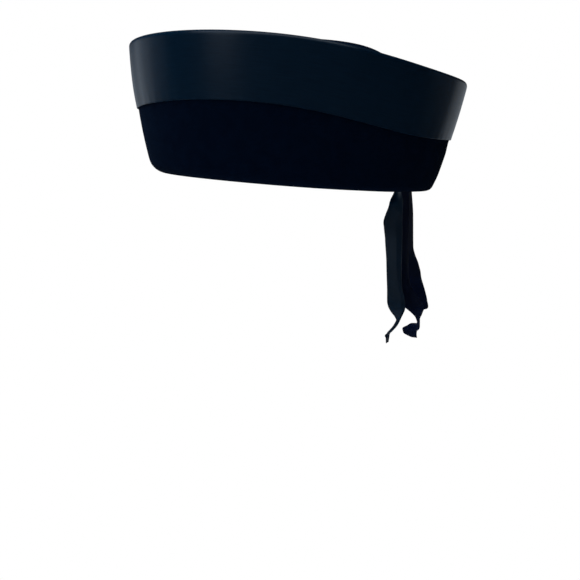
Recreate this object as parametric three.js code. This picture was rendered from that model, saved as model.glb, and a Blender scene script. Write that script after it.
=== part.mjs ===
// Breton hat: a felt crown, a deep felt brim turned up all round it, a satin ribbon folded over the
// brim's edge and two satin tails that hang from the headline at the back.
// Millimetres, +Z up. The wearer faces -Y and the wearer's left is +X.
// The origin is the centre of the head opening, at the headline.
import * as THREE from 'three';
import { LoftGeometry } from 'three/addons/geometries/LoftGeometry.js';

// Driving sizes
const HEAD_LENGTH = 196; // inside the crown at the headline, front to back
const HEAD_WIDTH = 162; // inside the crown at the headline, side to side
const WORN_TILT = 4.4; // degrees that the hat leans back on the head
const FELT = 2.5; // thickness of the blocked felt
const SATIN = 1; // thickness of the doubled ribbon
const GAP = 0.3; // left between pieces that are sewn together
const CROWN_RISE = 113.5; // headline to the top of the crown
const CROWN_SQUARENESS = 3.9; // 2 is a plain dome, more gives a flatter tip
const CROWN_SLOPE = 6; // the tip's height at the back over its height at the middle

// Steps that curves are drawn in
const AROUND = 56; // the hat's oval
const LEDGE_STEPS = 2; // the brim's flat ledge
const ROLL_STEPS = 6; // the roll from ledge to wall
const WALL_STEPS = 7; // the brim's wall
const EDGE_STEPS = 4; // half round over an edge
const BAND_STEPS = 5; // one leg of the folded ribbon
const CROWN_STEPS = 11; // headline to tip
const ROW_STEPS = 2; // along a tail, from one row of its table to the next
const LEFT_BENDS = [1, 0, -1]; // turn of each third of a tail's left width, from the fold out, in curls
const RIGHT_STEPS = 2; // across a tail's right width

// The brim from front to back, a row for every 36 degrees, the same on both sides.
// ledge and lift: width of the flat ledge at the headline and its rise outwards;
// roll: radius of the turn-up; rise: height of the edge; foot and rim: how far the wall leans out
// at its foot and at its edge, in degrees; band: width of the ribbon on the outside.
const BRIM = [
  { at: 'front', ledge: 0.4, lift: 0, roll: 14, rise: 97.5, foot: 17.6, rim: 5.4, band: 47.6 },
  { at: 'front quarter', ledge: 1.8, lift: 0, roll: 11.7, rise: 100.4, foot: 15.8, rim: 6.3, band: 46.1 },
  { at: 'before the side', ledge: 4.7, lift: 0, roll: 7.9, rise: 102.5, foot: 12.9, rim: 7.5, band: 44.4 },
  { at: 'behind the side', ledge: 8.6, lift: 0.2, roll: 6.2, rise: 98.4, foot: 12.2, rim: 7.8, band: 46.3 },
  { at: 'back quarter', ledge: 14, lift: 1.3, roll: 5.6, rise: 89.8, foot: 12.7, rim: 8.7, band: 46.5 },
  { at: 'back', ledge: 17.3, lift: 2, roll: 5.2, rise: 88.2, foot: 15, rim: 8.6, band: 43.6 },
];

// The tails from the top down. Each is a ribbon with one lengthwise fold. up, side, back: the fold;
// left and right: width of the ribbon before and behind the fold, less where it gathers;
// leftTurn and rightTurn: 0 lies square to the side view, 90 runs straight away from it;
// curl: how much more each third of the left width turns than the one outside it.
const LEFT_TAIL = [
  { up: 9, side: 0, back: 96.7, left: 11, leftTurn: 90, right: 7, rightTurn: 90, curl: 0 },
  { up: -1, side: 1, back: 95.7, left: 10, leftTurn: 88, right: 6, rightTurn: 90, curl: 0 },
  { up: -9, side: 4, back: 95.4, left: 8, leftTurn: 70, right: 5, rightTurn: 70, curl: 0 },
  { up: -19, side: 6, back: 95, left: 8.6, leftTurn: 36, right: 6, rightTurn: -10, curl: 0 },
  { up: -28, side: 7, back: 94, left: 11, leftTurn: 36, right: 6, rightTurn: -30, curl: 0 },
  { up: -34.5, side: 7, back: 93.6, left: 12.9, leftTurn: 40, right: 6, rightTurn: -34, curl: 0 },
  { up: -39, side: 7, back: 93.8, left: 14.2, leftTurn: 48, right: 6, rightTurn: -36, curl: 0 },
  { up: -50, side: 7, back: 94.6, left: 15.5, leftTurn: 57, right: 6, rightTurn: -40, curl: 0 },
  { up: -70, side: 7, back: 95, left: 14.6, leftTurn: 60, right: 6, rightTurn: 74, curl: 0 },
  { up: -91, side: 7, back: 97.6, left: 15.5, leftTurn: 54, right: 6, rightTurn: 72, curl: 0 },
  { up: -105, side: 6, back: 100.5, left: 15.9, leftTurn: 44, right: 5.6, rightTurn: 72, curl: 0 },
  { up: -109, side: 6, back: 100.6, left: 15.5, leftTurn: 46, right: 6, rightTurn: 68, curl: 0 },
  { up: -114, side: 6, back: 99.8, left: 14.6, leftTurn: 60, right: 4, rightTurn: 68, curl: 0 },
  { up: -117, side: 6, back: 99, left: 12, leftTurn: 70, right: 3.5, rightTurn: 76, curl: 0 },
  { up: -120, side: 5, back: 98.1, left: 5, leftTurn: 72, right: 1.6, rightTurn: 72, curl: 0 },
  { up: -125, side: 4, back: 95.7, left: 3.6, leftTurn: 70, right: 1.2, rightTurn: 70, curl: 0 },
  { up: -130, side: 3, back: 91.8, left: 3.6, leftTurn: 70, right: 1.2, rightTurn: 70, curl: 0 },
  { up: -132, side: 3, back: 89.5, left: 3, leftTurn: 86, right: 1.2, rightTurn: 86, curl: 0 },
  { up: -134.5, side: 3, back: 87.8, left: 4.6, leftTurn: 124, right: 1.8, rightTurn: 124, curl: 0 },
  { up: -139.5, side: 3, back: 87.8, left: 4, leftTurn: 118, right: 1.5, rightTurn: 118, curl: 0 },
];
const RIGHT_TAIL = [
  { up: -8, side: -6, back: 105.4, left: 9, leftTurn: 40, right: 12, rightTurn: -75, curl: 0 },
  { up: -28, side: -6, back: 106, left: 9, leftTurn: 34, right: 12, rightTurn: -68, curl: 8 },
  { up: -57, side: -6, back: 106.6, left: 10, leftTurn: 42, right: 12, rightTurn: -66, curl: 20 },
  { up: -64, side: -6, back: 106.8, left: 10, leftTurn: 44, right: 12, rightTurn: -58, curl: 20 },
  { up: -72, side: -6, back: 106.9, left: 10, leftTurn: 44, right: 12, rightTurn: -37, curl: 20 },
  { up: -82, side: -6, back: 107.4, left: 10, leftTurn: 44, right: 12.7, rightTurn: -22, curl: 20 },
  { up: -90, side: -6, back: 109.6, left: 12, leftTurn: 39, right: 11.7, rightTurn: -10, curl: 20 },
  { up: -98, side: -6, back: 114.8, left: 15, leftTurn: 30, right: 8.7, rightTurn: -5, curl: 20 },
  { up: -105, side: -6, back: 119.4, left: 17.5, leftTurn: 24, right: 5.4, rightTurn: -5, curl: 20 },
  { up: -111.3, side: -6, back: 121.6, left: 18, leftTurn: 23, right: 3.6, rightTurn: -5, curl: 17 },
  { up: -112, side: -6, back: 121, left: 17, leftTurn: 27, right: 0.5, rightTurn: 0, curl: 14 },
  { up: -117, side: -7, back: 119.3, left: 12.3, leftTurn: 55, right: 0.5, rightTurn: 55, curl: 0 },
  { up: -121, side: -8, back: 118, left: 12, leftTurn: 78, right: 0.5, rightTurn: 78, curl: 0 },
  { up: -125, side: -8, back: 118.1, left: 12, leftTurn: 84, right: 0.5, rightTurn: 84, curl: 0 },
  { up: -127, side: -8, back: 118.1, left: 12.5, leftTurn: 66, right: 0.5, rightTurn: 66, curl: 0 },
  { up: -129, side: -8, back: 117.9, left: 13.3, leftTurn: 45, right: 0.5, rightTurn: 45, curl: 0 },
  { up: -130.5, side: -8, back: 117.2, left: 14.9, leftTurn: 35, right: 0.5, rightTurn: 35, curl: 0 },
  { up: -132, side: -8, back: 115.6, left: 13.2, leftTurn: 30, right: 0.5, rightTurn: 30, curl: 0 },
  { up: -135, side: -8, back: 115.4, left: 11.8, leftTurn: 30, right: 0.5, rightTurn: 30, curl: 0 },
  { up: -138, side: -8, back: 115.8, left: 4.6, leftTurn: 30, right: 0.5, rightTurn: 30, curl: 0 },
];

const radians = THREE.MathUtils.degToRad;

// Numbers from 0 to 1 in even steps.
function evenly(steps) {
  return Array.from({ length: steps + 1 }, (_, i) => i / steps);
}

// A column of the brim table at any angle from the front, as a sum of cosines through its rows.
function around(column, turn) {
  const last = BRIM.length - 1;
  const share = (i) => (i === 0 || i === last ? 0.5 : 1);
  let size = 0;
  for (let wave = 0; wave <= last; wave++) {
    let height = 0;
    BRIM.forEach((row, i) => {
      height += share(i) * row[column] * Math.cos((wave * i * Math.PI) / last);
    });
    size += (share(wave) * height * Math.cos(wave * turn) * 2) / last;
  }
  return size;
}

// A point of a radial plane, out from the crown at the headline and up, in the hat's frame.
function placed(turn, out, up) {
  const width = HEAD_WIDTH / 2 + FELT;
  const length = HEAD_LENGTH / 2 + FELT;
  const outward = new THREE.Vector3(Math.sin(turn) / width, -Math.cos(turn) / length, 0);
  const point = new THREE.Vector3(width * Math.sin(turn), -length * Math.cos(turn), up);
  return point.addScaledVector(outward.normalize(), out);
}

// The middle of the brim's felt in a radial plane: a flat ledge, a roll and a wall whose lean
// changes steadily up to the edge. Each function gives a point and its lean from upright.
function brimLine(turn) {
  const ledge = around('ledge', turn);
  const lift = around('lift', turn);
  const slope = Math.atan2(lift, ledge);
  const roll = around('roll', turn);
  const hubOut = GAP + ledge - roll * Math.sin(slope);
  const hubUp = FELT / 2 + lift + roll * Math.cos(slope);
  const foot = radians(around('foot', turn));
  const bend = radians(around('rim', turn)) - foot;
  const chord = (angle) => (Math.abs(angle) < 1e-6 ? 1 : Math.sin(angle) / angle);
  const footOut = hubOut + roll * Math.cos(foot);
  const footUp = hubUp - roll * Math.sin(foot);
  const climb = around('rise', turn) - footUp;
  const length = climb / (chord(bend / 2) * Math.cos(foot + bend / 2));
  return {
    length,
    ledge: (share) => ({
      out: GAP + ledge * share,
      up: FELT / 2 + lift * share,
      lean: Math.PI / 2 - slope,
    }),
    roll: (share) => {
      const angle = slope + (Math.PI / 2 - foot - slope) * share;
      return {
        out: hubOut + roll * Math.sin(angle),
        up: hubUp - roll * Math.cos(angle),
        lean: Math.PI / 2 - angle,
      };
    },
    wall: (distance) => {
      const turned = (bend * distance) / length;
      const reach = distance * chord(turned / 2);
      return {
        out: footOut + reach * Math.sin(foot + turned / 2),
        up: footUp + reach * Math.cos(foot + turned / 2),
        lean: foot + turned,
      };
    },
  };
}

// A point beside the felt's middle line: outside it for a positive offset, and round its end for
// a swing from 0 (outside) to pi (inside).
function beside(point, offset, swing = 0) {
  const angle = point.lean - swing;
  return { out: point.out + offset * Math.cos(angle), up: point.up - offset * Math.sin(angle) };
}

// One line laid on the outside, over the edge and down the inside, at one distance from the middle.
function wrapped(points, offset) {
  const edge = points[points.length - 1];
  const over = evenly(EDGE_STEPS).slice(1, -1);
  return [
    ...points.map((point) => beside(point, offset)),
    ...over.map((share) => beside(edge, offset, Math.PI * share)),
    ...points.toReversed().map((point) => beside(point, -offset)),
  ];
}

function brimSection(turn) {
  const line = brimLine(turn);
  const middle = [
    ...evenly(LEDGE_STEPS).map(line.ledge),
    ...evenly(ROLL_STEPS).slice(1).map(line.roll),
    ...evenly(WALL_STEPS).slice(1).map((share) => line.wall(line.length * share)),
  ];
  return wrapped(middle, FELT / 2).map((point) => placed(turn, point.out, point.up));
}

function bandSection(turn) {
  const line = brimLine(turn);
  const width = around('band', turn);
  const middle = evenly(BAND_STEPS).map((share) => line.wall(line.length - width * (1 - share)));
  const inside = FELT / 2 + GAP;
  const loop = [...wrapped(middle, inside + SATIN), ...wrapped(middle, inside).reverse()];
  return loop.map((point) => placed(turn, point.out, point.up));
}

// The crown's outside from headline to tip, then its inside from tip to headline.
function crownSection(turn) {
  const power = 2 / CROWN_SQUARENESS;
  const wall = (inset, share) => {
    const angle = (share * Math.PI) / 2;
    const reach = share === 1 ? 0 : Math.cos(angle) ** power;
    const width = HEAD_WIDTH / 2 + FELT - inset;
    const length = HEAD_LENGTH / 2 + FELT - inset;
    const back = -reach * Math.cos(turn);
    const height = Math.sin(angle) ** power;
    const up = (CROWN_RISE - inset + CROWN_SLOPE * back) * height;
    return new THREE.Vector3(width * reach * Math.sin(turn), length * back, up);
  };
  const steps = evenly(CROWN_STEPS);
  return [
    ...steps.map((share) => wall(0, share)),
    ...steps.toReversed().map((share) => wall(FELT, share)),
  ];
}

// A closed ring through one section of the hat taken at even angles from the front.
function ring(section) {
  const turns = evenly(AROUND).toReversed();
  const sections = turns.map((share) => section((share % 1) * Math.PI * 2));
  return new LoftGeometry(sections);
}

// The middle of a folded ribbon's section, level at one height, from its left edge to its right.
function foldedLine(fold, left, right) {
  const stride = (turn, length) => {
    const angle = radians(turn);
    return new THREE.Vector3(Math.sin(angle), Math.cos(angle), 0).multiplyScalar(length);
  };
  const points = [fold];
  for (const bend of LEFT_BENDS) {
    const step = stride(left.turn + bend * left.curl, left.width / LEFT_BENDS.length);
    points.unshift(points[0].clone().sub(step));
  }
  for (let i = 0; i < RIGHT_STEPS; i++) {
    points.push(points.at(-1).clone().add(stride(right.turn, right.width / RIGHT_STEPS)));
  }
  return points;
}

// A ribbon through the rows of a tail, round its thin section at each step.
function tail(rows) {
  const through = (...columns) =>
    new THREE.CatmullRomCurve3(
      rows.map((row) => new THREE.Vector3(...columns.map((column) => row[column]))),
    );
  const fold = through('side', 'back', 'up');
  const left = through('left', 'leftTurn', 'curl');
  const right = through('right', 'rightTurn', 'curl');
  const sections = evenly((rows.length - 1) * ROW_STEPS).map((share) => {
    const { x: leftWidth, y: leftTurn, z: curl } = left.getPoint(share);
    const { x: rightWidth, y: rightTurn } = right.getPoint(share);
    const line = foldedLine(
      fold.getPoint(share),
      { width: leftWidth, turn: leftTurn, curl },
      { width: rightWidth, turn: rightTurn },
    );
    const faces = line.map((point, i) => {
      const across = line[Math.min(i + 1, line.length - 1)].clone().sub(line[Math.max(i - 1, 0)]);
      return new THREE.Vector3(-across.y, across.x, 0).setLength(SATIN / 2);
    });
    const front = line.map((point, i) => point.clone().add(faces[i]));
    const back = line.map((point, i) => point.clone().sub(faces[i]));
    return [...front, ...back.reverse()];
  });
  return new LoftGeometry(sections, { capStart: true, capEnd: true });
}

const wool = { color: 0x12151f, roughness: 0.95, metalness: 0 };
const satin = { color: 0x1c2838, roughness: 0.45, metalness: 0 };

function piece(name, geometry, look) {
  const mesh = new THREE.Mesh(geometry, new THREE.MeshStandardMaterial(look));
  mesh.name = name;
  return mesh;
}

const hat = new THREE.Group();
hat.rotation.x = radians(-WORN_TILT);
hat.add(
  piece('crown', ring(crownSection), wool),
  piece('brim', ring(brimSection), wool),
  piece('brim_band', ring(bandSection), satin),
);

const part = new THREE.Group();
part.add(
  hat,
  piece('left_tail', tail(LEFT_TAIL), satin),
  piece('right_tail', tail(RIGHT_TAIL), satin),
);

export default part;
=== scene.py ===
# Breton hat in navy wool felt: a crown, a deep brim turned up round it, a satin ribbon folded over the
# brim's edge and two satin tails at the back. Metres, +Z up, and the wearer faces -Y.
import math

import bmesh
import bpy
from mathutils import Matrix, Vector, noise


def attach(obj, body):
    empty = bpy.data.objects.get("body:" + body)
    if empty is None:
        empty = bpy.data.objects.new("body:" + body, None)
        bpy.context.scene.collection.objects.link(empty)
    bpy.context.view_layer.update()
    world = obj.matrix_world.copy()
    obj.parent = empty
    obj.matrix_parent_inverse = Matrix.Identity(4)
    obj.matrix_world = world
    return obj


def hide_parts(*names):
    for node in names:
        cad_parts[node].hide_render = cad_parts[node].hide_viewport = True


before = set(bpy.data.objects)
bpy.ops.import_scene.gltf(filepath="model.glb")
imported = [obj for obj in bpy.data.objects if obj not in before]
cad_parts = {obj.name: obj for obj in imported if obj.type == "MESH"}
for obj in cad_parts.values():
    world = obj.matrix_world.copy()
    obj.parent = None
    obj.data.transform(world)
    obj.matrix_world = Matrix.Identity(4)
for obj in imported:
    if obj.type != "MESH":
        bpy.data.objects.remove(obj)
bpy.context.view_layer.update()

MM = 0.001

# The hat's sizes
HEAD_LENGTH = 196 * MM  # inside the crown at the headline, front to back
HEAD_WIDTH = 162 * MM  # inside the crown at the headline, side to side
WORN_TILT = math.radians(4.4)  # how far the hat leans back
FELT = 2.5 * MM  # thickness of the blocked felt
SATIN = 0.7 * MM  # thickness of the ribbon with its turned edge
GAP = 0.3 * MM  # between pieces that are sewn together
TUCK = 0.8 * MM  # how far the brim's felt is drawn into the seam at the headline
CROWN_RISE = 113.5 * MM  # headline to the top of the crown
CROWN_SQUARENESS = 3.9  # 2 is a plain dome, more gives a flatter tip
CROWN_SLOPE = 6 * MM  # the tip's height at the back over its height at the middle
OVAL_WIDTH = HEAD_WIDTH / 2 + FELT  # from the middle to the outside of the crown at the headline
OVAL_LENGTH = HEAD_LENGTH / 2 + FELT

# The brim from front to back, a row for every 36 degrees, the same on both sides, in mm and degrees.
# ledge and lift: width of the flat ledge at the headline and its rise outwards;
# roll: radius of the turn-up; rise: height of the edge; foot and rim: how far the wall leans out
# at its foot and at its edge; band: width of the ribbon on the outside.
BRIM_COLUMNS = ("ledge", "lift", "roll", "rise", "foot", "rim", "band")
BRIM = [
    (0.4, 0, 14, 97.5, 17.6, 5.4, 47.6),  # front
    (1.8, 0, 11.7, 100.4, 15.8, 6.3, 46.1),  # front quarter
    (4.7, 0, 7.9, 102.5, 12.9, 7.5, 44.4),  # before the side
    (8.6, 0.2, 6.2, 98.4, 12.2, 7.8, 46.3),  # behind the side
    (14, 1.3, 5.6, 89.8, 12.7, 8.7, 46.5),  # back quarter
    (17.3, 2, 5.2, 88.2, 15, 8.6, 43.6),  # back
]

# The tails from the top down, in mm and degrees. Each is a ribbon with one lengthwise fold.
# up, side, back: the fold; left and right: width of the ribbon before and behind the fold, less where
# it gathers; left_turn and right_turn: 0 lies square to the side view, 90 runs along the line of sight;
# curl: how much more each third of the left width turns than the one outside it.
TAIL_COLUMNS = ("up", "side", "back", "left", "left_turn", "right", "right_turn", "curl")
LEFT_TAIL = [
    (9, 0, 96.7, 11, 90, 7, 90, 0),
    (-1, 1, 95.7, 10, 88, 6, 90, 0),
    (-9, 4, 95.4, 8, 70, 5, 70, 0),
    (-19, 6, 95, 8.6, 36, 4, 22, 0),
    (-28, 7, 94, 11, 36, 4.6, 18, 0),
    (-34.5, 7, 93.6, 12.9, 40, 5, 18, 0),
    (-39, 7, 93.8, 13.4, 45, 5, 18, 0),
    (-50, 7, 94.6, 14.8, 54, 4.4, 20, 0),
    (-70, 7, 95, 13.4, 55, 4, 28, 0),
    (-91, 7, 97.6, 15.5, 54, 2.8, 36, 0),
    (-105, 6, 100.5, 17.6, 49.5, 2.7, 28, 0),
    (-109, 6, 100.6, 17, 51, 2.5, 10, 0),
    (-114, 6, 99.8, 12, 52, 1.6, -12, 0),
    (-117, 6, 99, 6.4, 50, 1.2, -36, 0),
    (-120, 5, 98.1, 2.8, 37, 1.7, -56, 0),
    (-125, 4, 95.7, 2.8, 36, 1.8, -56, 0),
    (-130, 3, 91.8, 2.8, 37, 1.6, -56, 0),
    (-132, 3, 89.9, 2.2, 34, 1.6, -56, 0),
    (-134.5, 3, 89.4, 4.6, -56, 1.8, -56, 0),
    (-139.5, 3, 89, 4, -62, 1.5, -62, 0),
]
RIGHT_TAIL = [
    (-8, -6, 105.4, 12.5, 40, 5.8, -58, 0),
    (-28, -6, 106, 12.5, 34, 7.6, -54, 8),
    (-57, -6, 106.6, 13, 42, 8.3, -54, 20),
    (-64, -6, 106.8, 13, 44, 9.6, -48, 20),
    (-72, -6, 106.9, 12, 44, 12.4, -39, 20),
    (-82, -6, 107.4, 10, 44, 15.9, -41, 20),
    (-90, -6, 109.6, 12, 39, 15.5, -41, 20),
    (-98, -6, 114.8, 15, 30, 11.6, -41, 20),
    (-105, -6, 119.4, 17.5, 24, 7.2, -41, 20),
    (-111.3, -6, 121.6, 18, 23, 4.6, -38, 17),
    (-112, -6, 121, 17, 27, 0.5, 0, 14),
    (-117, -7, 119.3, 9.2, 40, 0.5, 40, 0),
    (-121, -8, 118, 4.1, 52, 0.5, 52, 0),
    (-125, -8, 118.1, 3.5, 64, 0.5, 64, 0),
    (-127, -8, 118.1, 11.6, 57, 0.5, 57, 0),
    (-129, -8, 117.9, 13.3, 45, 0.5, 45, 0),
    (-130.5, -8, 117.2, 14.9, 35, 0.5, 35, 0),
    (-132, -8, 115.6, 13.2, 30, 0.5, 30, 0),
    (-135, -8, 115.4, 11.8, 30, 0.5, 30, 0),
    (-138, -8, 115.8, 4.6, 30, 0.5, 30, 0),
]
CURL_REACH = 3 / 2  # thirds of the left width on each side of its middle
TAIL_RIBBON = 20 * MM  # width of the ribbon that the tails are cut from
TAIL_SATIN = 0.45 * MM  # its thickness
TAIL_CREASE = math.radians(40)  # a sharper bend than this stays a crease

# How finely the pieces are drawn
AROUND = 96  # the felt's oval, before it is smoothed
CROWN_RINGS = 40
LEDGE_RINGS = 3
ROLL_RINGS = 8
WALL_RINGS = 20
BAND_AROUND = 240
BAND_LEG_ROWS = 16  # from the ribbon's sewn edge to its fold
BAND_FOLD_ROWS = 8  # over the fold
LEG_CROWDING = 1.4  # 1 spaces the rows of a leg evenly, more draws them closer at the sewn edge
ROW_STEPS = 10  # along a tail, from one row of its table to the next
LEFT_STEPS = 12  # across a tail's left width
RIGHT_STEPS = 8  # across its right width
STRAIGHT = 1e-6  # a bend of less than this, in radians, counts as none

# What the hand leaves in felt and ribbon
FELT_WANDER = 0.35 * MM  # how far blocked felt strays from an even line
WANDER_LENGTH = 55 * MM  # size of those swellings
FELT_SPRING = 0.7 * MM  # how far the crown springs back off its block
LAP = 9 * MM  # how far the ribbon's end lies over its beginning at the back
LAP_RAMP = 7 * MM  # length over which it climbs on to it
LAP_CLIMB = 1.1 * SATIN  # how far it climbs
STITCH_PITCH = 9.2 * MM  # between the hidden stitches along the ribbon's edges
PUCKER = 0.12 * MM  # how far the ribbon stands off between them
PUCKER_FADE = 5 * MM  # distance from the edge over which that dies away
TAIL_RIPPLE = 0.25 * MM  # how far a hanging ribbon strays
RIPPLE_LENGTH = 18 * MM  # size of those ripples
BACK_SWELL = 0.9 * MM  # how far the felt below the ribbon is pressed out at the back
SWELL_FADE = 8 * MM  # distance over which the swelling dies away
SWELL_START = 0.4  # how far below the ribbon it begins, as a share of that distance
EASE = 0.5 * MM  # how far the ribbon stands off the felt where it is folded over the edge
EASE_LENGTH = 14 * MM  # distance from its sewn edge over which it lifts off
FRONT_EASE = 0.8 * MM  # how much more it stands off at the front
FRONT_FOCUS = 3  # more keeps that closer to the front
FOLD_EASE = 0.4  # how much more it stands off on top of the edge, as a share
EDGE_BEAD = 0.15 * MM  # extra thickness of the turned edge
BEAD_WIDTH = 1.6 * MM


def around(column, turn):
    """A column of the brim table at any angle from the front, as a sum of cosines through its rows."""
    sizes = [row[BRIM_COLUMNS.index(column)] for row in BRIM]
    last = len(sizes) - 1

    def share(row):
        return 0.5 if row in (0, last) else 1

    total = 0
    for wave in range(last + 1):
        height = sum(share(i) * size * math.cos(wave * i * math.pi / last) for i, size in enumerate(sizes))
        total += share(wave) * height * math.cos(wave * turn) * 2 / last
    return total


def leant_back(x, y, z):
    """A point of the hat's own frame, once it leans back as it is worn."""
    return Matrix.Rotation(-WORN_TILT, 3, "X") @ Vector((x, y, z))


def radial(turn, out, up):
    """A point of a radial plane: out from the crown at the headline, and up."""
    outward = Vector((math.sin(turn) / OVAL_WIDTH, -math.cos(turn) / OVAL_LENGTH)).normalized()
    x = OVAL_WIDTH * math.sin(turn) + out * outward.x
    y = -OVAL_LENGTH * math.cos(turn) + out * outward.y
    return leant_back(x, y, up)


def wander(turn, up):
    """How far blocked felt swells out at an angle and a height."""
    place = Vector((HEAD_WIDTH * math.sin(turn), HEAD_WIDTH * math.cos(turn), up))
    return FELT_WANDER * noise.noise(place / WANDER_LENGTH)


def smooth(share):
    """0 below 0, 1 above 1 and a soft step between."""
    share = min(max(share, 0), 1)
    return share * share * (3 - 2 * share)


class BrimLine:
    """The middle of the brim's felt at one angle: a flat ledge, a roll and a wall whose lean changes
    steadily up to the edge. Each part gives (out, up, lean from upright)."""

    def __init__(self, turn):
        self.turn = turn
        self.width = around("ledge", turn) * MM
        self.lift = around("lift", turn) * MM
        self.slope = math.atan2(self.lift, self.width)
        self.radius = around("roll", turn) * MM
        self.hub_out = GAP + self.width - self.radius * math.sin(self.slope)
        self.hub_up = FELT / 2 + self.lift + self.radius * math.cos(self.slope)
        self.band = around("band", turn) * MM
        self.foot = math.radians(around("foot", turn))
        self.bend = math.radians(around("rim", turn)) - self.foot
        self.foot_out = self.hub_out + self.radius * math.cos(self.foot)
        self.foot_up = self.hub_up - self.radius * math.sin(self.foot)
        climb = around("rise", turn) * MM - self.foot_up
        self.length = climb / (self.chord(self.bend / 2) * math.cos(self.foot + self.bend / 2))

    @staticmethod
    def chord(angle):
        """A bent line's straight length over its own, for half the angle that it bends."""
        return 1 if abs(angle) < STRAIGHT else math.sin(angle) / angle

    def ledge(self, share):
        return GAP + self.width * share, FELT / 2 + self.lift * share, math.pi / 2 - self.slope

    def roll(self, share):
        angle = self.slope + (math.pi / 2 - self.foot - self.slope) * share
        out = self.hub_out + self.radius * math.sin(angle)
        up = self.hub_up - self.radius * math.cos(angle)
        return out, up, math.pi / 2 - angle

    def wall(self, distance):
        turned = self.bend * distance / self.length
        reach = distance * self.chord(turned / 2)
        out = self.foot_out + reach * math.sin(self.foot + turned / 2)
        up = self.foot_up + reach * math.cos(self.foot + turned / 2)
        below = (self.length - self.band - distance) / SWELL_FADE - SWELL_START
        swell = BACK_SWELL * smooth(below) * smooth(distance / SWELL_FADE) * (1 - math.cos(self.turn)) / 2
        out += wander(self.turn, up) * distance / self.length + swell
        return out, up, self.foot + turned


def beside(point, offset, swing=0):
    """A point beside the felt's middle line: outside it, or round its end for a swing up to pi."""
    out, up, lean = point
    return out + offset * math.cos(lean - swing), up - offset * math.sin(lean - swing)


def from_rows(rows, column, spot):
    """A column of a tail's table at a spot, the number of a row or a place between two, on a smooth curve
    that never swings past its rows."""
    values = [row[TAIL_COLUMNS.index(column)] for row in rows]
    points = [Vector(row[:3]) for row in rows]
    gaps = [(after - before).length for before, after in zip(points, points[1:])]
    last = len(gaps) - 1

    def slope(i):
        before = (values[i] - values[i - 1]) / gaps[i - 1] if i > 0 else 0
        after = (values[i + 1] - values[i]) / gaps[i] if i <= last else 0
        return 2 * before * after / (before + after) if before * after > 0 else 0

    i = min(int(spot), last)
    t = spot - i
    start = (1 + 2 * t) * (1 - t) ** 2 * values[i] + t * (1 - t) ** 2 * gaps[i] * slope(i)
    end = t * t * (3 - 2 * t) * values[i + 1] + t * t * (t - 1) * gaps[i] * slope(i + 1)
    return start + end


# Working by hand in edit mode


def begin_edit():
    bpy.ops.object.mode_set(mode="EDIT")
    return bmesh.from_edit_mesh(bpy.context.active_object.data)


def end_edit():
    bmesh.update_edit_mesh(bpy.context.active_object.data)
    bpy.ops.object.mode_set(mode="OBJECT")


def finish_with(kind, **settings):
    """Adds a modifier to the active piece and applies it."""
    bpy.ops.object.modifier_add(type=kind)
    piece = bpy.context.active_object
    modifier = piece.modifiers[-1]
    for name, value in settings.items():
        setattr(modifier, name, value)
    bpy.ops.object.modifier_apply(modifier=modifier.name)


def thicken(thickness, offset):
    """Gives the active sheet its thickness and rounds it. offset: 0 to both sides, -1 inwards."""
    finish_with("SOLIDIFY", thickness=thickness, offset=offset, use_even_offset=True)
    finish_with("SUBSURF", levels=1, render_levels=1)
    bpy.ops.object.shade_smooth()


def named(name):
    piece = bpy.context.active_object
    piece.name = name
    piece.data.name = name
    return piece


def felt_rings(name, rules, tip=None):
    """A sheet of felt: an oval of edges that is extruded once for each rule and laid where it says.
    With a tip, one last ring is drawn together there."""
    bpy.ops.object.select_all(action="DESELECT")
    bpy.ops.mesh.primitive_circle_add(vertices=AROUND, radius=OVAL_WIDTH)
    piece = named(name)
    mesh = begin_edit()
    turn = mesh.verts.layers.float.new("turn")
    for vertex in mesh.verts:
        vertex[turn] = math.atan2(vertex.co.x, -vertex.co.y)
    bpy.ops.mesh.select_all(action="SELECT")
    for number, rule in enumerate(rules):
        if number > 0:
            bpy.ops.mesh.extrude_edges_move()
        mesh = bmesh.from_edit_mesh(piece.data)
        turn = mesh.verts.layers.float["turn"]
        for vertex in mesh.verts:
            if vertex.select:
                vertex.co = rule(vertex[turn])
        bmesh.update_edit_mesh(piece.data)
    if tip is not None:
        bpy.ops.mesh.extrude_edges_move()
        bpy.ops.mesh.merge(type="CENTER")
        mesh = bmesh.from_edit_mesh(piece.data)
        for vertex in mesh.verts:
            if vertex.select:
                vertex.co = tip
    bpy.ops.mesh.select_all(action="SELECT")
    bpy.ops.mesh.normals_make_consistent(inside=False)
    end_edit()
    return piece


def ribbon_grid(name, along, across, place):
    """A ribbon as a flat grid whose points are laid one by one. place(share along, row across) gives
    the point and its distances along and across the ribbon, which its UV map keeps in metres."""
    bpy.ops.object.select_all(action="DESELECT")
    bpy.ops.mesh.primitive_grid_add(x_subdivisions=along, y_subdivisions=across, size=1)
    piece = named(name)
    piece.data.uv_layers.active.name = "ribbon"
    mesh = begin_edit()
    lengths = {}
    for vertex in mesh.verts:
        share = vertex.co.x + 0.5
        row = round((vertex.co.y + 0.5) * across)
        vertex.co, lengths[vertex.index] = place(share, row)
    ribbon = mesh.loops.layers.uv["ribbon"]
    for face in mesh.faces:
        for loop in face.loops:
            loop[ribbon].uv = lengths[loop.vert.index]
    end_edit()
    return piece


# Pieces


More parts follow.
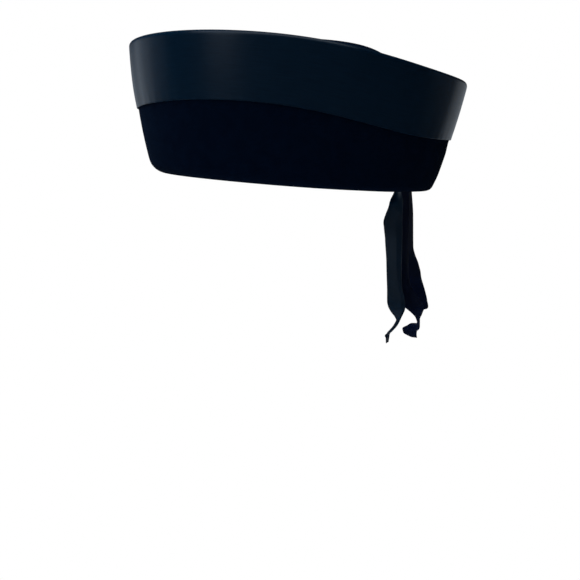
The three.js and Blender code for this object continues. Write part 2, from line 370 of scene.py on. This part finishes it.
def crown_felt():
    """Blocked felt dome: an oval drawn up over the block to its flattened tip."""

    def ring(angle):
        squared = math.cos(angle) ** CROWN_SQUARENESS + math.sin(angle) ** CROWN_SQUARENESS
        size = squared ** (-1 / CROWN_SQUARENESS)
        reach = size * math.cos(angle)
        height = size * math.sin(angle)

        def rule(turn):
            back = -reach * math.cos(turn)
            up = (CROWN_RISE + CROWN_SLOPE * back + FELT_SPRING) * height
            swell = 1 + (FELT_SPRING - wander(turn + math.pi, up)) * height / OVAL_WIDTH
            x = OVAL_WIDTH * reach * math.sin(turn)
            y = OVAL_LENGTH * back
            return leant_back(x * swell, y * swell, up)

        return rule

    rules = [ring(math.pi / 2 * i / CROWN_RINGS) for i in range(CROWN_RINGS)]
    crown = felt_rings("crown_felt", rules, tip=leant_back(0, 0, CROWN_RISE + FELT_SPRING))
    thicken(FELT, offset=-1)
    return crown


def brim_felt():
    """Felt brim: a ledge at the headline, rolled up into a wall that stands round the crown."""

    def on(part, share):
        def rule(turn):
            line = BrimLine(turn)
            place = line.wall(line.length * share) if part == "wall" else getattr(line, part)(share)
            return radial(turn, *place[:2])

        return rule

    rules = [lambda turn: radial(turn, -TUCK, FELT / 2)]
    rules += [on("ledge", i / LEDGE_RINGS) for i in range(LEDGE_RINGS + 1)]
    rules += [on("roll", i / ROLL_RINGS) for i in range(1, ROLL_RINGS + 1)]
    rules += [on("wall", i / WALL_RINGS) for i in range(1, WALL_RINGS + 1)]
    brim = felt_rings("brim_felt", rules)
    thicken(FELT, offset=0)
    return brim


def brim_ribbon():
    """Satin ribbon folded over the brim's edge and sewn down on both sides, lapped at the back."""
    lap_turn = LAP / 2 / OVAL_WIDTH
    ramp_turn = LAP_RAMP / OVAL_WIDTH
    rows = 2 * BAND_LEG_ROWS + BAND_FOLD_ROWS
    lie = FELT / 2 + GAP + SATIN / 2

    def middle(turn):
        line = BrimLine(turn)
        return radial(turn, *line.wall(line.length - line.band / 2)[:2])

    middles = [middle(2 * math.pi * i / BAND_AROUND) for i in range(BAND_AROUND + 1)]
    girth = sum((after - before).length for before, after in zip(middles, middles[1:]))
    stitches = round(girth / STITCH_PITCH)

    def place(share, row):
        turn = math.pi - lap_turn + share * (2 * math.pi + 2 * lap_turn)
        line = BrimLine(turn)
        width = line.band
        ease = EASE + FRONT_EASE * ((1 + math.cos(turn)) / 2) ** FRONT_FOCUS
        over = LAP_CLIMB * smooth((turn - (3 * math.pi - lap_turn - ramp_turn)) / ramp_turn)
        inner = row > BAND_LEG_ROWS + BAND_FOLD_ROWS
        leg = row if not inner else rows - row
        if leg <= BAND_LEG_ROWS:
            up_leg = width * (leg / BAND_LEG_ROWS) ** LEG_CROWDING
            bead = EDGE_BEAD * math.exp(-((up_leg / BEAD_WIDTH) ** 2))
            pull = PUCKER * math.exp(-up_leg / PUCKER_FADE) * math.cos(stitches * turn)
            lift = ease * (1 - math.exp(-up_leg / EASE_LENGTH))
            offset = lie + lift + over + bead + pull
            swing = math.pi if inner else 0
            out, up = beside(line.wall(line.length - width + up_leg), offset, swing)
            across = up_leg if not inner else 2 * width + math.pi * lie - up_leg
        else:
            swing = math.pi * (row - BAND_LEG_ROWS) / BAND_FOLD_ROWS
            offset = lie + over + ease * (1 + FOLD_EASE * math.sin(swing))
            out, up = beside(line.wall(line.length), offset, swing)
            across = width + lie * swing
        return radial(turn, out, up), (share * girth, across)

    band = ribbon_grid("brim_ribbon", BAND_AROUND, rows, place)
    begin_edit()
    bpy.ops.mesh.select_all(action="SELECT")
    bpy.ops.mesh.normals_make_consistent(inside=False)
    end_edit()
    thicken(SATIN, offset=0)
    return band, (2 * around("band", math.pi / 2) * MM + math.pi * lie, girth + LAP)


def ribbon_tail(name, rows, near_side, far_side):
    """A length of ribbon with one lengthwise fold, hung from the headline and twisted as its rows say.
    The two finishes are those of its sides."""
    spots = [i / ROW_STEPS for i in range((len(rows) - 1) * ROW_STEPS + 1)]
    sizes = [{column: from_rows(rows, column, spot) for column in TAIL_COLUMNS} for spot in spots]
    folds = [Vector((size["side"], size["back"], size["up"])) for size in sizes]
    lengths = [0]
    for before, after in zip(folds, folds[1:]):
        lengths.append(lengths[-1] + (after - before).length)

    def stride(turn, length):
        return Vector((math.sin(math.radians(turn)), math.cos(math.radians(turn)), 0)) * length

    def place(share, row):
        step = round(share * (len(spots) - 1))
        size = sizes[step]
        point = folds[step].copy()
        for i in range(LEFT_STEPS - row):
            bend = CURL_REACH * size["curl"] * (1 - (2 * i + 1) / LEFT_STEPS)
            point -= stride(size["left_turn"] + bend, size["left"] / LEFT_STEPS)
        for i in range(row - LEFT_STEPS):
            point += stride(size["right_turn"], size["right"] / RIGHT_STEPS)
        across = size["left"] * min(row / LEFT_STEPS, 1)
        across += size["right"] * max((row - LEFT_STEPS) / RIGHT_STEPS, 0)
        ripple = TAIL_RIPPLE * noise.noise(point * MM / RIPPLE_LENGTH)
        return point * MM + Vector((ripple, 0, 0)), (lengths[step] * MM, across * MM)

    tail = ribbon_grid(name, len(spots) - 1, LEFT_STEPS + RIGHT_STEPS, place)
    tail.data.materials.append(near_side)
    tail.data.materials.append(far_side)
    finish_with("SOLIDIFY", thickness=TAIL_SATIN, offset=0, use_even_offset=True, material_offset=1)
    bpy.ops.object.shade_smooth_by_angle(angle=TAIL_CREASE)
    return tail, (TAIL_RIBBON, lengths[-1] * MM)


# Finishes


def linear(hex_colour):
    """An sRGB hex colour as linear RGBA."""
    channels = [int(hex_colour[i:i + 2], 16) / 255 for i in (1, 3, 5)]
    return [c / 12.92 if c <= 0.04045 else ((c + 0.055) / 1.055) ** 2.4 for c in channels] + [1]


def add(tree, kind, sockets=None, **settings):
    """Adds a node with its settings. sockets gives each input a value or another node's output."""
    made = tree.nodes.new(kind)
    for name, value in settings.items():
        setattr(made, name, value)
    for socket, source in (sockets or {}).items():
        if isinstance(source, bpy.types.NodeSocket):
            tree.links.new(source, made.inputs[socket])
        else:
            made.inputs[socket].default_value = source
    return made


def new_finish(name):
    finish = bpy.data.materials.new(name)
    finish.use_nodes = True
    finish.node_tree.nodes.clear()
    return finish, finish.node_tree


def blend(tree, share, *stops):
    """A colour that goes from one hex colour to another. Each stop is a share and its colour."""
    ramp = add(tree, "ShaderNodeValToRGB", {"Fac": share})
    for element, (position, colour) in zip(ramp.color_ramp.elements, stops):
        element.position = position
        element.color = linear(colour)
    return ramp.outputs["Color"]


def blocked_wool_felt():
    """Matted wool fibres, steamed over a block: navy that is nearly black, no gloss, a faint bloom of
    fibre ends and a soft mottle where the fibres lie closer."""
    finish, tree = new_finish("blocked_wool_felt")
    place = add(tree, "ShaderNodeTexCoord").outputs["Object"]
    mottle_size = 9 * MM
    fibre_size = 1.4 * MM  # drawn coarser than a wool fibre, which would be too fine to show
    mottle = add(
        tree, "ShaderNodeTexNoise",
        {"Vector": place, "Scale": 1 / mottle_size, "Detail": 3, "Roughness": 0.6},
    )
    fibre = add(
        tree, "ShaderNodeTexNoise",
        {"Vector": place, "Scale": 1 / fibre_size, "Detail": 5, "Roughness": 0.7, "Distortion": 1.5},
    )
    both = add(
        tree, "ShaderNodeMath",
        {0: mottle.outputs["Fac"], 1: fibre.outputs["Fac"]}, operation="MULTIPLY",
    )
    bump = add(
        tree, "ShaderNodeBump",
        {"Height": both.outputs["Value"], "Strength": 0.5, "Distance": 0.4 * MM},
    )
    shader = add(
        tree, "ShaderNodeBsdfPrincipled",
        {
            "Base Color": blend(tree, both.outputs["Value"], (0.12, "#020816"), (0.45, "#030E1E")),
            "Roughness": 0.95,
            "Specular IOR Level": 0.012,
            "Sheen Weight": 0.022,
            "Sheen Roughness": 0.5,
            "Sheen Tint": linear("#4A6680"),
            "Normal": bump.outputs["Normal"],
        },
    )
    add(tree, "ShaderNodeOutputMaterial", {"Surface": shader.outputs["BSDF"]})
    return finish


def satin_ribbon(name, dark, light, gloss, shine):
    """Satin weave: long smooth warp floats run along the ribbon, so light stretches across it in soft
    upright glows, broken by faint streaks where a thread is thicker. Its reverse is duller and darker."""
    finish, tree = new_finish(name)
    place = add(tree, "ShaderNodeUVMap", uv_map="ribbon").outputs["UV"]
    streak_length = 18 * MM
    streak_width = 0.9 * MM
    thread = 0.5 * MM  # twice a real warp thread, which would be too fine to show
    wave_rate = 20  # radians that a wave texture runs through in a metre at a scale of 1
    stretched = add(
        tree, "ShaderNodeMapping",
        {"Vector": place, "Scale": (1 / streak_length, 1 / streak_width, 1)},
    )
    streak = add(
        tree, "ShaderNodeTexNoise",
        {"Vector": stretched.outputs["Vector"], "Scale": 1, "Detail": 3, "Roughness": 0.6},
        noise_dimensions="2D",
    )
    warp = add(
        tree, "ShaderNodeTexWave",
        {"Vector": place, "Scale": 2 * math.pi / thread / wave_rate, "Distortion": 0.4},
        wave_type="BANDS", bands_direction="Y", wave_profile="SIN",
    )
    rough = add(
        tree, "ShaderNodeMapRange",
        {
            "Value": streak.outputs["Fac"], "From Min": 0.3, "From Max": 0.7,
            "To Min": gloss[0], "To Max": gloss[1],
        },
    )
    weave = add(
        tree, "ShaderNodeMath",
        {0: streak.outputs["Fac"], 1: warp.outputs["Fac"]}, operation="ADD",
    )
    bump = add(
        tree, "ShaderNodeBump",
        {"Height": weave.outputs["Value"], "Strength": 0.12, "Distance": 0.08 * MM},
    )
    tangent = add(tree, "ShaderNodeTangent", direction_type="UV_MAP", uv_map="ribbon")
    shader = add(
        tree, "ShaderNodeBsdfPrincipled",
        {
            "Base Color": blend(tree, streak.outputs["Fac"], (0.3, dark), (0.75, light)),
            "Roughness": rough.outputs["Result"],
            "Specular IOR Level": shine,
            "Anisotropic": 0.7,
            "Anisotropic Rotation": 0.25,
            "Tangent": tangent.outputs["Tangent"],
            "Normal": bump.outputs["Normal"],
        },
    )
    add(tree, "ShaderNodeOutputMaterial", {"Surface": shader.outputs["BSDF"]})
    return finish


# Dressing the frame

felt = blocked_wool_felt()
satin = satin_ribbon("satin_ribbon", dark="#021626", light="#031C2D", gloss=(0.28, 0.33), shine=0.2)
# painted light: the tails are the band's own ribbon, but this copy of its satin is drawn lighter and
# glossier to stand in for the light that falls on them
tail_satin_painted_light = satin_ribbon("tail_satin_painted_light", dark="#021A2B", light="#031C2E", gloss=(0.34, 0.37), shine=0.36)
tail_reverse = satin_ribbon(
    "tail_satin_reverse", dark="#030E26", light="#04122D", gloss=(0.46, 0.5), shine=0.12
)

crown = crown_felt()
brim = brim_felt()
band, band_flat = brim_ribbon()
left_tail, left_flat = ribbon_tail("left_ribbon_tail", LEFT_TAIL, tail_satin_painted_light, tail_reverse)
right_tail, right_flat = ribbon_tail("right_ribbon_tail", RIGHT_TAIL, tail_reverse, tail_satin_painted_light)
for piece, finish in ((crown, felt), (brim, felt), (band, satin)):
    piece.data.materials.append(finish)

for piece, node, slot in (
    (crown, "crown", "wool_felt"),
    (brim, "brim", "wool_felt"),
    (band, "brim_band", "satin_ribbon"),
    (left_tail, "left_tail", "satin_ribbon"),
    (right_tail, "right_tail", "satin_ribbon"),
):
    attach(piece, "root")
    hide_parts(node)

# Studio
FLOOR_DROP = 320 * MM  # headline to the floor
FLOOR_SIZE = 8.0  # metres
CAMERA_PLACE = (690.4 * MM, 3.4 * MM, 26.2 * MM)
CAMERA_PITCH = math.radians(9.84)  # below the horizon
CAMERA_LENS = 50.0  # millimetres
WHITE = (1, 1, 1, 1)
PAPER = (0.85, 0.85, 0.85, 1)  # how much light the floor throws back
STUDIO_LIGHT = linear("#E8F3FF")
BACKDROP_WAY = Vector((-0.999, -0.02, 0)).normalized()  # from the hat to the middle of the backdrop
# How bright the studio is for the cosine of the angle from the middle of the backdrop
STUDIO_TONES = [(-1, 0.03), (0.49, 0.03), (0.56, 0.45), (0.78, 0.4), (1, 0.36)]
# Where the backdrop grows dim above the hat, as sines of the height, and to what share
DIM_FROM, DIM_TO, DIM_TONE = 0.07, 0.13, 0.1
LAMP_DISTANCE = 1.3  # metres from the headline


def studio_floor():
    """Paper that is white to the eye and lights the hat from below, but isn't mirrored in the satin."""
    bpy.ops.mesh.primitive_plane_add(size=FLOOR_SIZE, location=(0, 0, -FLOOR_DROP))
    floor = named("studio_floor")
    finish, tree = new_finish("white_paper")
    shader = add(tree, "ShaderNodeBsdfDiffuse", {"Color": PAPER})
    glow = add(tree, "ShaderNodeEmission", {"Color": WHITE, "Strength": 1})
    ray = add(tree, "ShaderNodeLightPath")
    mixed = add(
        tree, "ShaderNodeMixShader",
        {"Fac": ray.outputs["Is Camera Ray"], 1: shader.outputs["BSDF"], 2: glow.outputs["Emission"]},
    )
    add(tree, "ShaderNodeOutputMaterial", {"Surface": mixed.outputs["Shader"]})
    floor.data.materials.append(finish)
    floor.visible_glossy = False


def studio_world():
    """White all round to the eye. On the hat it is a dim even light, brighter from the backdrop, which
    grows dim again above the brim's edge."""
    world = bpy.data.worlds.new("studio")
    bpy.context.scene.world = world
    world.use_nodes = True
    tree = world.node_tree
    tree.nodes.clear()
    way = add(tree, "ShaderNodeTexCoord").outputs["Generated"]
    facing = add(tree, "ShaderNodeVectorMath", {0: way, 1: BACKDROP_WAY}, operation="DOT_PRODUCT")
    spread = add(
        tree, "ShaderNodeMapRange",
        {"Value": facing.outputs["Value"], "From Min": -1, "From Max": 1},
    )
    strength = add(tree, "ShaderNodeValToRGB", {"Fac": spread.outputs["Result"]})
    stops = strength.color_ramp.elements
    for number, (cosine, tone) in enumerate(STUDIO_TONES):
        stop = stops[number] if number < len(stops) else stops.new((cosine + 1) / 2)
        stop.position = (cosine + 1) / 2
        stop.color = (tone, tone, tone, 1)
    height = add(tree, "ShaderNodeSeparateXYZ", {"Vector": way})
    dimming = add(
        tree, "ShaderNodeMapRange",
        {
            "Value": height.outputs["Z"], "From Min": DIM_FROM, "From Max": DIM_TO,
            "To Min": 1, "To Max": DIM_TONE,
        },
    )
    tone = add(
        tree, "ShaderNodeMath",
        {0: strength.outputs["Color"], 1: dimming.outputs["Result"]}, operation="MULTIPLY",
    )
    light = add(tree, "ShaderNodeBackground", {"Color": STUDIO_LIGHT, "Strength": tone.outputs["Value"]})
    seen = add(tree, "ShaderNodeBackground", {"Color": WHITE, "Strength": 1})
    ray = add(tree, "ShaderNodeLightPath")
    mixed = add(
        tree, "ShaderNodeMixShader",
        {"Fac": ray.outputs["Is Camera Ray"], 1: light.outputs["Background"], 2: seen.outputs["Background"]},
    )
    add(tree, "ShaderNodeOutputWorld", {"Surface": mixed.outputs["Shader"]})


def studio_lamp(name, bearing, height, power, size, glints=True):
    """A soft box that faces the hat. bearing is measured from +X towards +Y and height from the level,
    in degrees. Without glints it isn't mirrored in the satin."""
    turn = math.radians(bearing)
    rise = math.radians(height)
    way = Vector((math.cos(rise) * math.cos(turn), math.cos(rise) * math.sin(turn), math.sin(rise)))
    bpy.ops.object.light_add(
        type="AREA", location=way * LAMP_DISTANCE, rotation=way.to_track_quat("Z", "Y").to_euler()
    )
    lamp = bpy.context.active_object
    lamp.name = name
    lamp.data.shape = "SQUARE"
    lamp.data.size = size
    lamp.data.energy = power
    lamp.data.color = STUDIO_LIGHT[:3]
    lamp.visible_glossy = glints


def studio_camera():
    bpy.ops.object.camera_add(
        location=CAMERA_PLACE, rotation=(math.pi / 2 - CAMERA_PITCH, 0, math.pi / 2)
    )
    camera = bpy.context.active_object
    camera.data.lens = CAMERA_LENS
    bpy.context.scene.camera = camera


studio_floor()
studio_world()
studio_lamp("key_light", bearing=-124, height=42, power=28, size=1.0, glints=False)
studio_lamp("strip_light", bearing=-42, height=15, power=1.2, size=0.4)
studio_lamp("top_light", bearing=-45, height=52, power=6.5, size=0.9)
studio_lamp("crown_light", bearing=25, height=68, power=6, size=0.9)
studio_lamp("front_light", bearing=-116, height=4, power=0.7, size=0.6)
studio_lamp("cheek_light", bearing=-96, height=4, power=0.25, size=0.5)
studio_lamp("back_light", bearing=98, height=4, power=0.14, size=0.6)
studio_camera()
bpy.context.scene.view_settings.view_transform = "Standard"
